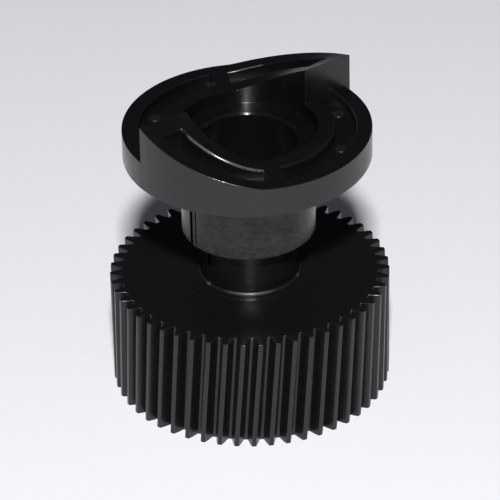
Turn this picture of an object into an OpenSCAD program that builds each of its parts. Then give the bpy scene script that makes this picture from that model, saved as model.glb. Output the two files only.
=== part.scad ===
// Sprung drive gear with a two-ramp coupling face.
// A helical gear turns on a plain shaft bush. A keyed tube slides in the gear's
// hub against a spring, and carries a flange with two ramps and two square steps.
// Origin: on the axis, at the gear's bottom face. +Z points to the coupling face.

/* [Gear] */
// Number of teeth
gear_teeth = 51; // [45:1:56]
// Normal module of the teeth
gear_module = 0.8; // [0.75:0.05:0.9]
// Helix angle of the teeth in degrees
helix_angle = 4; // [1:1:12]
// Pressure angle in degrees
pressure_angle = 20; // [18:1:22]
// Width of the toothed face
gear_face = 18.3; // [17:0.1:20]
// Turn of the first tooth at the bottom face in degrees
tooth_turn = -96.7; // [-180:0.1:180]
// Thickness of the closed top of the gear
web_thickness = 2.5; // [1.5:0.1:3.5]
// Number of ribs under the gear
rib_count = 6; // [3:1:10]
// Thickness of each rib
rib_thickness = 1.6; // [1:0.1:2.5]

/* [Shaft and bushes] */
// Diameter of the shaft bush's bore
shaft_d = 8; // [7.5:0.05:8.1]
// Running clearance on the radius
running_gap = 0.05; // [0.02:0.01:0.1]

/* [Neck] */
// Outer diameter of the sliding neck
neck_d = 14.7; // [14.5:0.05:14.9]
// Lowest point of the neck inside the gear
neck_bottom = 11.6; // [11.2:0.1:12]
// Top of the neck inside the sleeve
neck_top = 31.2; // [30.5:0.1:32]
// Width of the keyway down the neck
keyway_width = 1.1; // [0.9:0.1:1.4]
// Direction of the keyway round the axis in degrees
key_direction = 214.5; // [0:0.5:360]

/* [Sleeve and flange] */
// Outer diameter of the sleeve
sleeve_d = 20.2; // [19.6:0.1:20.8]
// Height of the sleeve's lower end
sleeve_bottom = 26.1; // [26:0.1:27]
// Bore of the sleeve
sleeve_bore_d = 14.8; // [14.8:0.05:15]
// Diameter of the flange
flange_d = 37.2; // [36:0.1:39]
// Height of the flange's underside
flange_bottom = 38.8; // [38:0.1:39.5]

/* [Coupling face] */
// Height of the low part of the coupling face
low_level = 43.35; // [43:0.05:44]
// Rise of each ramp above the low part
cam_rise = 5.9; // [3:0.1:7]
// Angle that each ramp covers in degrees
ramp_sweep = 65; // [45:1:80]
// Curve of the ramp: 1 is straight
ramp_power = 1.2; // [1:0.05:1.6]
// Direction of the first step in degrees
step_direction = 213; // [0:1:360]
// Diameter inside the outer rim
rim_inner_d = 32.4; // [31:0.1:33.5]
// Diameter outside the inner collar
collar_d = 26.3; // [25:0.1:27.5]
// Diameter of the counterbore
counterbore_d = 21; // [20:0.1:22]
// Height of the counterbore's floor
counterbore_floor = 41.1; // [40.5:0.1:42]
// Height of the floor between rim and collar
recess_floor = 41.9; // [41:0.1:42.5]

/* [Spring] */
// Wire diameter
spring_wire_d = 1; // [0.8:0.05:1.05]
// Turns from end to end
spring_turns = 7; // [5:0.5:8]

/* [Hidden] */
$fn = 96;
eps = 0.01;
over = 1;

// Gear geometry
pitch_r = gear_teeth * gear_module / (2 * cos(helix_angle));
tip_r = pitch_r + gear_module;
root_r = pitch_r - 1.25 * gear_module;
side_pressure = atan(tan(pressure_angle) / cos(helix_angle));
base_r = pitch_r * cos(side_pressure);
face_turn = gear_face * tan(helix_angle) / pitch_r * 180 / PI;
rim_cavity_r = root_r - 2.65;
hub_r = 12;
chamber_r = 8.6;
cap_r = 9.2;
cap_gap = 0.02;
cap_bottom = 1.55;
cap_top = 3.95;
clip_groove_r = 9.9;
clip_bottom = 0.7;

// Guide bush in the gear's top
guide_bore_r = neck_d / 2 + running_gap;
guide_body_r = 8.2;
guide_flange_r = 9.1;
guide_flange_thickness = 0.8;
guide_lip_r = 7.9;
guide_lip_height = 0.35;
guide_bottom = 14.3;
guide_chamfer = 0.15;
guide_tooth_width = keyway_width - 0.2;
guide_tooth_top = gear_face - 0.6;
guide_top = gear_face + guide_lip_height;

// Neck, its lip and its keyway
neck_r = neck_d / 2;
neck_bore_r = 6;
neck_shoulder_r = 5.2;
neck_shoulder_bottom = neck_top - 1.5;
neck_lip_r = 8.3;
neck_lip_top = guide_bottom - 0.05;
keyway_floor_r = neck_r - 0.6;
keyway_bottom = neck_lip_top + 0.3;

// Shaft bush and plunger bush
shaft_r = shaft_d / 2;
bush_bottom = 0.15;
bush_top = 9;
bush_r = 5;
bush_spigot_r = 4.65;
bush_flange_r = 5.7;
bush_flange_bottom = 2.95;
bush_flange_top = 3.85;
plunger_bush_bottom = 23;
plunger_bore_r = shaft_r + running_gap;

// Spring and its lower seat
seat_thickness = 0.6;
seat_inner_r = 4.9;
seat_outer_r = 8.2;
spring_bottom = cap_top + seat_thickness;
spring_top = plunger_bush_bottom;
spring_mean_r = 5.35;
spring_steps = 24;
spring_sides = 8;

// Keys, slots and the ring on top of the neck
slot_width = 1.6;
slot_floor_r = 8.6;
key_blade_width = 0.7;
key_outer_r = sleeve_d / 2 - 0.15;
key_inner_r = keyway_floor_r + 0.05;
key_bottom = sleeve_bottom - 0.25;
key_blade_top = flange_bottom - 0.5;
ring_groove_r = 7.95;
ring_outer_r = 7.9;
ring_inner_r = 6.4;
ring_thickness = 0.75;
clip_gap = 3;

// Coupling face
sleeve_r = sleeve_d / 2;
flange_r = flange_d / 2;
bore_r = sleeve_bore_d / 2;
bore_chamfer = 0.3;
face_top = low_level + cam_rise;
step_block = 9.5;
pocket_end = 67;
rib_end = 77;
ejector_r = 0.95;
ejector_height = 0.15;
ejector_ring_r = 14.65;
ejector_directions = [20.5, 160];

// Cylinder between two heights
module drum(r, z1, z2) {
    translate([0, 0, z1]) cylinder(r = r, h = z2 - z1);
}

// Ring between two radii and two heights
module ring(r1, r2, z1, z2) {
    difference() {
        drum(r2, z1, z2);
        drum(r1, z1 - over, z2 + over);
    }
}

// Part of a ring, from one direction to another
module ring_sector(r1, r2, a1, a2, z1, z2) {
    rotate([0, 0, a1])
        rotate_extrude(angle = a2 - a1)
            translate([r1, z1])
                square([r2 - r1, z2 - z1]);
}

// Block that runs out along +X, turned to a direction
module radial_bar(r1, r2, width, z1, z2, direction) {
    rotate([0, 0, direction])
        translate([r1, -width / 2, z1])
            cube([r2 - r1, width, z2 - z1]);
}

// Gap that opens a snap ring
module clip_opening(r, z1, z2, direction) {
    radial_bar(0, r + over, clip_gap, z1 - over, z2 + over, direction);
}

// Involute function, and half the angle of a tooth at a radius
function involute(a) = tan(a) * 180 / PI - a;
function half_tooth(r) = 90 / gear_teeth + involute(side_pressure) - involute(acos(base_r / r));

// Radii at which a flank has points, from root to tip
flank_radii = [root_r, root_r + 0.5 * gear_module, pitch_r + 0.2 * gear_module, tip_r];

// One tooth's outline: up one flank and down the other
function tooth_points(middle) = concat(
    [for (r = flank_radii) r * [cos(middle - half_tooth(r)), sin(middle - half_tooth(r))]],
    [for (i = [len(flank_radii) - 1 : -1 : 0])
        let (r = flank_radii[i])
        r * [cos(middle + half_tooth(r)), sin(middle + half_tooth(r))]]
);

module gear_outline() {
    polygon([for (t = [0 : gear_teeth - 1]) each tooth_points(tooth_turn + t * 360 / gear_teeth)]);
}

module drive_gear() {
    color("#202022")
    difference() {
        linear_extrude(height = gear_face, twist = -face_turn, slices = 3) gear_outline();
        gear_underside();
        gear_hub_bore();
    }
}

// Open cavity under the gear, crossed by ribs
module gear_underside() {
    difference() {
        ring(hub_r, rim_cavity_r, -over, gear_face - web_thickness);
        for (i = [0 : rib_count - 1])
            radial_bar(hub_r - over, rim_cavity_r + over, rib_thickness, -2 * over, gear_face,
                       key_direction + (i + 0.5) * 360 / rib_count);
    }
}

// Stepped bore through the gear's hub
module gear_hub_bore() {
    drum(cap_r, -over, cap_top);
    drum(clip_groove_r, clip_bottom - 0.05, cap_bottom + 0.02);
    drum(chamber_r, cap_top - eps, guide_bottom);
    drum(guide_body_r, guide_bottom - eps, gear_face);
    drum(guide_flange_r, gear_face - guide_flange_thickness, gear_face + over);
}

module guide_bush() {
    color("#1b1b1d") {
        difference() {
            union() {
                drum(guide_body_r, guide_bottom, gear_face);
                drum(guide_flange_r, gear_face - guide_flange_thickness, gear_face);
                drum(guide_lip_r, gear_face - eps, guide_top);
            }
            drum(guide_bore_r, guide_bottom - over, guide_top + over);
            translate([0, 0, guide_top - guide_chamfer])
                cylinder(r1 = guide_bore_r, r2 = guide_bore_r + guide_chamfer + eps,
                         h = guide_chamfer + eps);
        }
        for (turn = [0, 180])
            guide_tooth(key_direction + turn);
    }
}

// Tooth inside the guide bush that runs in the neck's keyway
module guide_tooth(direction) {
    radial_bar(keyway_floor_r + 0.1, guide_body_r - 0.3, guide_tooth_width,
               guide_bottom + 0.5, guide_tooth_top, direction);
}

module bottom_cap() {
    color("#2a2a2c")
    difference() {
        drum(cap_r - cap_gap, cap_bottom, cap_top);
        drum(bush_r + running_gap, cap_bottom - over, cap_top + over);
        drum(bush_flange_r + 0.25, bush_flange_bottom - 0.05, cap_top + over);
    }
}

module cap_circlip() {
    color("#8d8f92")
    difference() {
        ring(8.3, clip_groove_r - 0.05, clip_bottom, cap_bottom);
        clip_opening(clip_groove_r, clip_bottom, cap_bottom, 90);
    }
}

module spring_seat() {
    color("#a7a9ab")
    ring(seat_inner_r, seat_outer_r, cap_top, spring_bottom);
}

module shaft_bush() {
    color("#9c7a45")
    difference() {
        union() {
            drum(bush_r, bush_bottom, bush_flange_top);
            drum(bush_flange_r, bush_flange_bottom, bush_flange_top);
            drum(bush_spigot_r, bush_bottom, bush_top);
        }
        drum(shaft_r, bush_bottom - over, bush_top + over);
    }
}

module plunger_bush() {
    color("#9c7a45")
    ring(plunger_bore_r, neck_bore_r, plunger_bush_bottom, neck_shoulder_bottom);
}

// Height of the spring wire's middle: closed ends, even pitch between them
function spring_z(turn) =
    let (close = spring_wire_d * 1.06,
         low = spring_bottom + spring_wire_d / 2,
         high = spring_top - spring_wire_d / 2,
         pitch = (high - low - 2 * close) / (spring_turns - 2))
    turn < 1 ? low + close * turn
    : turn > spring_turns - 1 ? high - close * (spring_turns - turn)
    : low + close + pitch * (turn - 1);

module return_spring() {
    count = spring_turns * spring_steps;
    rings = [for (i = [0 : count]) each spring_ring(i / spring_steps)];
    sides = [for (i = [0 : count - 1]) for (j = [0 : spring_sides - 1])
        let (a = i * spring_sides + j,
             b = i * spring_sides + (j + 1) % spring_sides)
        [a, b, b + spring_sides, a + spring_sides]];
    first = [for (j = [0 : spring_sides - 1]) spring_sides - 1 - j];
    last = [for (j = [0 : spring_sides - 1]) count * spring_sides + j];
    color("#c9cbce")
    polyhedron(rings, concat([first, last], sides), convexity = 10);
}

// Points round the wire after a number of turns
function spring_ring(turn) = [
    for (j = [0 : spring_sides - 1])
        let (a = 360 * turn,
             b = -360 * j / spring_sides,
             r = spring_mean_r + spring_wire_d / 2 * cos(b))
        [r * cos(a), r * sin(a), spring_z(turn) + spring_wire_d / 2 * sin(b)]
];

module plunger_tube() {
    color("#1d1d1f")
    difference() {
        union() {
            drum(neck_r, neck_bottom, neck_top);
            drum(neck_lip_r, neck_bottom, neck_lip_top);
        }
        drum(neck_bore_r, neck_bottom - over, neck_shoulder_bottom);
        drum(neck_shoulder_r, neck_shoulder_bottom - eps, neck_top + over);
        for (turn = [0, 180])
            radial_bar(keyway_floor_r, neck_r + over, keyway_width, keyway_bottom,
                       neck_top + over, key_direction + turn);
    }
}

// Flat strip in the sleeve's slot, with a wider foot in the neck's keyway
module drive_key(direction) {
    union() {
        radial_bar(slot_floor_r, key_outer_r, key_blade_width, key_bottom, key_blade_top, direction);
        radial_bar(key_inner_r, slot_floor_r, keyway_width, key_bottom, neck_top, direction);
    }
}

module left_key() {
    color("#2c2c2e") drive_key(key_direction);
}

module right_key() {
    color("#2c2c2e") drive_key(key_direction + 180);
}

module coupling_ring() {
    color("#77797c")
    difference() {
        ring(ring_inner_r, ring_outer_r, neck_top, neck_top + ring_thickness);
        clip_opening(ring_outer_r, neck_top, neck_top + ring_thickness, 90);
    }
}

// Height of the coupling face, by the angle past a step
function cam_height(angle) =
    low_level + cam_rise * pow(max(0, 1 - angle / ramp_sweep), ramp_power);

// Angles at which half of the coupling face has an edge
ramp_angles = [for (i = [0 : 26]) i * ramp_sweep / 26];
flat_angles = [for (i = [1 : 10]) ramp_sweep + i * (180 - ramp_sweep) / 10];
face_angles = concat(ramp_angles, flat_angles);

// Everything above half of the coupling face, wider than the flange
module above_half_face() {
    inner = bore_r - 1.5;
    outer = flange_r + 1.5;
    top = face_top + 2;
    last = len(face_angles) - 1;
    points = [for (a = face_angles) each [
        [inner * cos(a), inner * sin(a), cam_height(a)],
        [outer * cos(a), outer * sin(a), cam_height(a)],
        [outer * cos(a), outer * sin(a), top],
        [inner * cos(a), inner * sin(a), top]
    ]];
    walls = [for (i = [0 : last - 1]) for (j = [0 : 3])
        let (a = 4 * i + j, b = 4 * i + (j + 1) % 4)
        each [[a, b, b + 4], [a, b + 4, a + 4]]];
    ends = [[3, 2, 1, 0], [4 * last, 4 * last + 1, 4 * last + 2, 4 * last + 3]];
    polyhedron(points, concat(walls, ends), convexity = 6);
}

// Core pocket behind a step, and the open recess that follows it
module face_recesses() {
    inner = collar_d / 2;
    outer = rim_inner_d / 2;
    ring_sector(inner, outer, step_block, pocket_end, recess_floor, face_top + over);
    ring_sector(inner, outer, rib_end, 180, recess_floor, face_top + over);
}

module ejector_mark(direction) {
    rotate([0, 0, direction])
        translate([ejector_ring_r, 0, recess_floor - 0.2])
            cylinder(r = ejector_r, h = 0.2 + ejector_height);
}

module cam_coupling() {
    color("#1a1a1c")
    difference() {
        union() {
            difference() {
                drum(flange_r, flange_bottom, face_top);
                for (turn = [0, 180]) {
                    rotate([0, 0, step_direction + turn]) {
                        above_half_face();
                        face_recesses();
                    }
                }
            }
            drum(sleeve_r, sleeve_bottom, flange_bottom + eps);
            for (turn = [0, 180])
                for (d = ejector_directions)
                    ejector_mark(d + turn);
        }
        drum(counterbore_d / 2, counterbore_floor, face_top + over);
        drum(bore_r, sleeve_bottom - over, face_top);
        translate([0, 0, counterbore_floor - bore_chamfer])
            cylinder(r1 = bore_r, r2 = bore_r + bore_chamfer + eps, h = bore_chamfer + eps);
        drum(ring_groove_r, neck_top, neck_top + ring_thickness + 0.05);
        for (turn = [0, 180])
            key_slot(key_direction + turn);
    }
}

// Slot through the sleeve: wide outside for the blade, narrow inside for the foot
module key_slot(direction) {
    radial_bar(slot_floor_r, sleeve_r + over, slot_width, sleeve_bottom - over, flange_bottom,
               direction);
    radial_bar(bore_r - over, slot_floor_r + eps, keyway_width, sleeve_bottom - over, neck_top,
               direction);
}

shaft_bush();
drive_gear();
guide_bush();
bottom_cap();
cap_circlip();
spring_seat();
return_spring();
plunger_tube();
plunger_bush();
cam_coupling();
left_key();
right_key();
coupling_ring();
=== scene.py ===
# %% [markdown]
# # A sprung drive gear with a two-ramp coupling face
#
# The object is a small black moulded gear. A keyed neck slides in its hub against
# a spring, and on top of the neck sits a wide flange with two curved ramps. Each ramp
# ends in a square step that drives the mating half.
#
# A solid model of every piece already exists and fixes all sizes. This lesson builds
# the pieces again as smooth meshes with eased edges and true tooth curves, gives each
# the plastic or metal it is made of, and lights them on plain paper.

import math

import bmesh
import bpy
from mathutils import Matrix, Vector


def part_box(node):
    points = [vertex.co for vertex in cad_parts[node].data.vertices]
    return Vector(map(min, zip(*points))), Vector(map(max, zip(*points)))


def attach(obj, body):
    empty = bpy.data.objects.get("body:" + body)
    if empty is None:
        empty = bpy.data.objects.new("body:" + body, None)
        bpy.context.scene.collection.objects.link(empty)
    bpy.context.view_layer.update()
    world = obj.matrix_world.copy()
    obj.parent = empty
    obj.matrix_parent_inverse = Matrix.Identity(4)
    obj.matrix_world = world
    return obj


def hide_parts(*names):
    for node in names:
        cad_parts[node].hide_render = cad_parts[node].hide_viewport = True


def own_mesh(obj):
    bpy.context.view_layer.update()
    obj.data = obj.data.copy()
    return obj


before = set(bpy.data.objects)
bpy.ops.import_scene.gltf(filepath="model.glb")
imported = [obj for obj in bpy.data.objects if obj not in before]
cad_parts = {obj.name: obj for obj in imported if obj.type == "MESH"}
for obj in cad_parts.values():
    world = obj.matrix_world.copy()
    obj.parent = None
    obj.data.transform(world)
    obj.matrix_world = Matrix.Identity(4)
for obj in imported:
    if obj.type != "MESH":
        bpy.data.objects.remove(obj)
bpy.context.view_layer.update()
MM = 0.001


def span_mm(node):
    """Lowest and highest corner of a solid node, in millimetres."""
    low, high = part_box(node)
    return low / MM, high / MM


print("solid pieces:", ", ".join(sorted(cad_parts)))

# %% [markdown]
# ## Colours and nodes
#
# Every finish is a small network of shader nodes. Colours are easiest to choose as the
# hex values of a colour picker, but a shader works with light, so one function turns
# them linear. One more function adds any node, sets its values and joins its inputs,
# which keeps each finish short enough to read like a recipe. It serves the geometry
# trees further on as well.

# %% Helpers for colours and nodes
def linear(hex_colour):
    """A hex colour as linear red, green, blue and alpha."""
    parts = [int(hex_colour[i:i + 2], 16) / 255 for i in (1, 3, 5)]
    return [p / 12.92 if p <= 0.04045 else ((p + 0.055) / 1.055) ** 2.4 for p in parts] + [1.0]


def add(owner, kind, inputs=None, **settings):
    """Adds a node to a material or a tree. Settings are its properties.

    An input is a value, another node's output, or a node, which stands for its first output.
    """
    tree = owner.node_tree if isinstance(owner, bpy.types.Material) else owner
    node = tree.nodes.new(kind)
    for name, value in settings.items():
        setattr(node, name, value)
    for name, value in (inputs or {}).items():
        if isinstance(value, bpy.types.Node):
            value = value.outputs[0]
        if isinstance(value, bpy.types.NodeSocket):
            tree.links.new(value, node.inputs[name])
        else:
            node.inputs[name].default_value = value
    return node


def new_finish(name, **shader_values):
    """A material with a Principled shader whose steady values are set on its own sockets."""
    material = bpy.data.materials.new(name)
    material.use_nodes = True
    material.node_tree.nodes.clear()
    shader = add(material, "ShaderNodeBsdfPrincipled", shader_values)
    add(material, "ShaderNodeOutputMaterial", {"Surface": shader})
    return material, shader


def shader_links(material, shader, **outputs):
    """Joins node outputs to the shader's inputs, with _ for a space in an input's name."""
    for name, output in outputs.items():
        if isinstance(output, bpy.types.Node):
            output = output.outputs[0]
        material.node_tree.links.new(output, shader.inputs[name.replace("_", " ")])


def per_metre(size_mm):
    """The scale of a pattern on Object coordinates whose features are size_mm across."""
    return 1 / (size_mm * MM)


def on_circle(r, angle):
    """The point at a radius and an angle in degrees."""
    return r * math.cos(math.radians(angle)), r * math.sin(math.radians(angle))


print("a picker grey of #808080 is", round(linear("#808080")[0], 3), "in light")

# %% [markdown]
# ## Black moulded plastic
#
# Acetal and glass-filled plastics leave the mould with the sheen of the tool's steel.
# Tiny flow ripples, half a millimetre to a few millimetres wide, break up reflections.
# The same recipe serves the gear, neck, guide, flange and keys with different depths, so
# it is one function made of four short ones: colour, gloss, relief and ring marks.
#
# Use leaves its own marks, and each mesh says where, in attributes that are written
# when the piece is made. edge_wear is 1 on rounded edges, which turn lighter and
# shinier. scuff_and_highlight marks edges painted light grey as a highlight, the rubbed
# collars among them. handled marks walls that fingers touch, with a film of dust and
# smears. matt marks floors that the mould left dull.

# %% Black plastic: patterns and marks
def plastic_patterns(material, ripple_mm):
    """Noises for clouds, flow ripples, grain, specks and dust, and the place they follow."""
    place = add(material, "ShaderNodeTexCoord").outputs["Object"]
    squat = add(material, "ShaderNodeVectorMath", {0: place, 1: (1.0, 1.0, 2.2)},
                operation="MULTIPLY")
    patterns = {"place": place}
    for name, where, size_mm, detail, roughness in (
            ("cloud", place, 4 * ripple_mm, 4.0, 0.55), ("ripple", place, ripple_mm, 2.0, 0.5),
            ("grain", place, 0.12, 2.0, 0.5), ("speck", place, 0.35, 3.0, 0.6),
            ("film", squat, 1.1, 4.0, 0.6)):
        patterns[name] = add(material, "ShaderNodeTexNoise", {
            "Vector": where, "Scale": per_metre(size_mm), "Detail": detail,
            "Roughness": roughness})
    patterns["patches"] = add(material, "ShaderNodeMapRange", {
        "Value": patterns["film"], "From Min": 0.4, "From Max": 0.68})
    return patterns


def use_and_highlight_marks(material):
    """The attributes that say where a mesh is worn, scuffed with a painted highlight, handled or
    matt.
    """
    return {name: add(material, "ShaderNodeAttribute", attribute_name=name).outputs["Fac"]
            for name in ("edge_wear", "scuff_and_highlight", "handled", "matt")}


print("patches of dust 1.1 mm wide have a scale of", round(per_metre(1.1)), "per metre")

# %% Black plastic: colour
def plastic_colour(material, patterns, marks, body, worn, haze):
    """The body's colour under patchy dust, lighter on worn edges, with a painted highlight in grey
    on scuffed edges.
    """
    thickness = add(material, "ShaderNodeMapRange", {
        "Value": marks["handled"], "To Min": 0.08, "To Max": 1.0})
    dust = add(material, "ShaderNodeMath", {0: patterns["patches"], 1: thickness},
               operation="MULTIPLY")
    rubbed = add(material, "ShaderNodeMath", {0: marks["edge_wear"], 1: patterns["speck"]},
                 operation="MULTIPLY")
    spotted = add(material, "ShaderNodeMapRange", {
        "Value": patterns["speck"], "From Min": 0.25, "From Max": 0.5})
    on_edge = add(material, "ShaderNodeMath", {0: marks["scuff_and_highlight"], 1: marks["edge_wear"]},
                  operation="MULTIPLY")
    # On scuffed rounded edges the grey #4a4a4d is a painted highlight.
    scuff_highlight = add(material, "ShaderNodeMath", {0: on_edge, 1: spotted}, operation="MULTIPLY")
    tone = linear(body)
    for amount, colour in ((dust, haze or body), (rubbed, worn), (scuff_highlight, "#4a4a4d")):
        tone = add(material, "ShaderNodeMix", {
            "Factor": amount, 6: tone, 7: linear(colour)}, data_type="RGBA").outputs[2]
    return tone


def weld_line_over(material, patterns, tone, direction, near_mm=8.0, far_mm=19.0):
    """A faint line, 0.09 mm wide, where two streams of molten plastic met."""
    middle, reach = (near_mm + far_mm) / 2 * MM, (far_mm - near_mm) / 2 * MM
    x, y = on_circle(1.0, direction)
    outwards = add(material, "ShaderNodeVectorMath", {0: patterns["place"], 1: (x, y, 0.0)},
                   operation="DOT_PRODUCT").outputs["Value"]
    sideways = add(material, "ShaderNodeVectorMath", {0: patterns["place"], 1: (-y, x, 0.0)},
                   operation="DOT_PRODUCT").outputs["Value"]
    in_reach = add(material, "ShaderNodeMath", {0: outwards, 1: middle, 2: reach},
                   operation="COMPARE")
    on_line = add(material, "ShaderNodeMath", {0: sideways, 1: 0.0, 2: 0.045 * MM},
                  operation="COMPARE")
    seen = add(material, "ShaderNodeMath", {0: in_reach, 1: on_line}, operation="MULTIPLY")
    faint = add(material, "ShaderNodeMath", {0: seen, 1: patterns["patches"]},
                operation="MULTIPLY")
    return add(material, "ShaderNodeMix", {
        "Factor": faint, 6: tone, 7: linear("#29292b")}, data_type="RGBA").outputs[2]


# %% Black plastic: gloss
def plastic_gloss(material, patterns, marks, gloss, gloss_spread):
    """Roughness: cloudy, higher on matt floors and lower on worn edges."""
    cloudy = add(material, "ShaderNodeMapRange", {
        "Value": patterns["cloud"], "From Min": 0.3, "From Max": 0.7,
        "To Min": gloss - gloss_spread, "To Max": gloss + gloss_spread})
    dull = add(material, "ShaderNodeMath", {0: marks["matt"], 1: 0.35, 2: cloudy},
               operation="MULTIPLY_ADD")
    return add(material, "ShaderNodeMath", {0: marks["edge_wear"], 1: -0.08, 2: dull},
               operation="MULTIPLY_ADD")


def smeared_mirror(material, patterns, marks):
    """Strength of the reflection: smears weaken it where the wall has been handled."""
    smears = add(material, "ShaderNodeMath", {
        0: patterns["cloud"], 1: 1.6, 2: patterns["film"]}, operation="MULTIPLY_ADD")
    loss = add(material, "ShaderNodeMapRange", {
        "Value": smears, "From Min": 1.02, "From Max": 1.58, "To Min": -0.24, "To Max": -0.01})
    return add(material, "ShaderNodeMath", {0: marks["handled"], 1: loss, 2: 0.5},
               operation="MULTIPLY_ADD")


# %% Black plastic: relief and ring marks
def plastic_relief(material, patterns, ripple_depth_mm, grain_depth_mm):
    """Flow ripples with a fine grain on top of them."""
    wide = add(material, "ShaderNodeBump", {
        "Height": patterns["ripple"], "Distance": ripple_depth_mm * MM})
    return add(material, "ShaderNodeBump", {
        "Height": patterns["grain"], "Distance": grain_depth_mm * MM, "Normal": wide})


def ring_marks(material, shader, place, relief, near_mm, far_mm, level_mm):
    """Rings that a turned mould core leaves between two radii and above a level.

    They stretch a reflection along the rings, and fine tool lines break it up.
    """
    near, far, level = near_mm * MM, far_mm * MM, level_mm * MM
    flat = add(material, "ShaderNodeVectorMath", {0: place, 1: (1.0, 1.0, 0.0)},
               operation="MULTIPLY")
    radius = add(material, "ShaderNodeVectorMath", {0: flat}, operation="LENGTH").outputs["Value"]
    height = add(material, "ShaderNodeSeparateXYZ", {0: place}).outputs["Z"]
    ring = add(material, "ShaderNodeMath", {
        0: radius, 1: (near + far) / 2, 2: (far - near) / 2}, operation="COMPARE")
    above = add(material, "ShaderNodeMath", {0: height, 1: level}, operation="GREATER_THAN")
    within = add(material, "ShaderNodeMath", {0: ring, 1: above}, operation="MULTIPLY")
    stretch = add(material, "ShaderNodeMath", {0: within, 1: 0.98}, operation="MULTIPLY")
    profile = add(material, "ShaderNodeCombineXYZ", {"X": radius, "Z": height})
    tool_lines = add(material, "ShaderNodeTexNoise", {
        "Vector": profile, "Scale": per_metre(0.28), "Detail": 3.0})
    fade_out = add(material, "ShaderNodeMapRange", {
        "Value": radius, "From Min": far, "From Max": far + 0.5 * MM, "To Min": 1.0,
        "To Max": 0.0})
    fade_in = add(material, "ShaderNodeMapRange", {
        "Value": height, "From Min": level - 1.0 * MM, "From Max": level + 0.4 * MM})
    faded = add(material, "ShaderNodeMath", {0: fade_out, 1: fade_in}, operation="MULTIPLY")
    line_height = add(material, "ShaderNodeMath", {0: tool_lines, 1: faded},
                      operation="MULTIPLY")
    lined = add(material, "ShaderNodeBump", {
        "Height": line_height, "Distance": 0.02 * MM, "Normal": relief})
    around_axis = add(material, "ShaderNodeTangent", direction_type="RADIAL", axis="Z")
    shader.inputs["Anisotropic Rotation"].default_value = 0.25
    shader_links(material, shader, Normal=lined, Anisotropic=stretch, Tangent=around_axis)


# %% Finish: moulded black plastic
def black_plastic(name, body, worn, gloss, ripple_mm, ripple_depth_mm, grain_depth_mm,
                  gloss_spread=0.08, ior=1.48, haze=None, weld_line=None, turned=None):
    """A black thermoplastic: body and worn are its colours, gloss its roughness.

    haze is the dust's colour, weld_line the direction of the line where two streams met,
    and turned gives the two radii and the level in mm that bound a turned core's rings.
    """
    material, shader = new_finish(name, IOR=ior)
    patterns = plastic_patterns(material, ripple_mm)
    marks = use_and_highlight_marks(material)
    tone = plastic_colour(material, patterns, marks, body, worn, haze)
    if weld_line is not None:
        tone = weld_line_over(material, patterns, tone, weld_line)
    relief = plastic_relief(material, patterns, ripple_depth_mm, grain_depth_mm)
    shader_links(material, shader, Base_Color=tone, Normal=relief,
                 Roughness=plastic_gloss(material, patterns, marks, gloss, gloss_spread),
                 Specular_IOR_Level=smeared_mirror(material, patterns, marks))
    if turned:
        ring_marks(material, shader, patterns["place"], relief, *turned)
    return material


gear_acetal = black_plastic(
    "black_acetal_gear", "#0f0f10", "#1e1e20", gloss=0.30, ripple_mm=1.6,
    ripple_depth_mm=0.004, grain_depth_mm=0.0012, gloss_spread=0.045, weld_line=217.3)
guide_acetal = black_plastic(
    "black_acetal_guide", "#0f0f10", "#202022", gloss=0.30, ripple_mm=1.0,
    ripple_depth_mm=0.004, grain_depth_mm=0.0015)
neck_acetal = black_plastic(
    "black_acetal_neck", "#0f0f10", "#1d1d1f", gloss=0.27, ripple_mm=0.8,
    ripple_depth_mm=0.018, grain_depth_mm=0.0060)
coupling_plastic = black_plastic(
    "black_glass_filled_coupling", "#0b0b0c", "#18181a", gloss=0.27, ripple_mm=1.3,
    ripple_depth_mm=0.014, grain_depth_mm=0.0020, ior=1.51, haze="#1c1c1e",
    turned=(7.42, 10.55, 40.5))
key_plastic = black_plastic(
    "black_satin_key_strip", "#19191b", "#38383a", gloss=0.45, ripple_mm=0.6,
    ripple_depth_mm=0.004, grain_depth_mm=0.002)
print("made", ", ".join(m.name for m in (gear_acetal, guide_acetal, neck_acetal,
                                         coupling_plastic, key_plastic)))

# %% [markdown]
# ## Sintered bronze, spring wire and zinc-plated steel
#
# Plain bushes are pressed from bronze powder, so their faces are matt, with pores about
# a tenth of a millimetre wide that hold oil. Spring wire is drawn through a die, which
# leaves fine lines along it. A pressed washer is plated with zinc, which dries with a
# faint cloudy bloom. Metals keep the shader's default IOR, and their colour is their
# reflection.

# %% Finish: sintered bronze
def sintered_bronze():
    """Pressed bronze powder: warm, matt, pitted and darker where oil sits in the pores."""
    material, shader = new_finish("sintered_bronze", Metallic=1.0)
    place = add(material, "ShaderNodeTexCoord").outputs["Object"]
    pores = add(material, "ShaderNodeTexVoronoi", {"Vector": place, "Scale": per_metre(0.16)})
    depth = add(material, "ShaderNodeMapRange", {
        "Value": pores, "From Min": 0.0, "From Max": 0.45})
    oil = add(material, "ShaderNodeTexNoise", {
        "Vector": place, "Scale": per_metre(1.8), "Detail": 4.0})
    metal = add(material, "ShaderNodeMix", {
        "Factor": oil, 6: linear("#a97b45"), 7: linear("#c79a63")}, data_type="RGBA")
    tone = add(material, "ShaderNodeMix", {
        "Factor": depth, 6: linear("#5b3d20"), 7: metal.outputs[2]}, data_type="RGBA")
    gloss = add(material, "ShaderNodeMapRange", {"Value": oil, "To Min": 0.34, "To Max": 0.56})
    pits = add(material, "ShaderNodeBump", {"Height": depth, "Distance": 0.012 * MM})
    shader_links(material, shader, Base_Color=tone.outputs[2], Roughness=gloss, Normal=pits)
    return material


bush_bronze = sintered_bronze()
print("made", bush_bronze.name)

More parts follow.
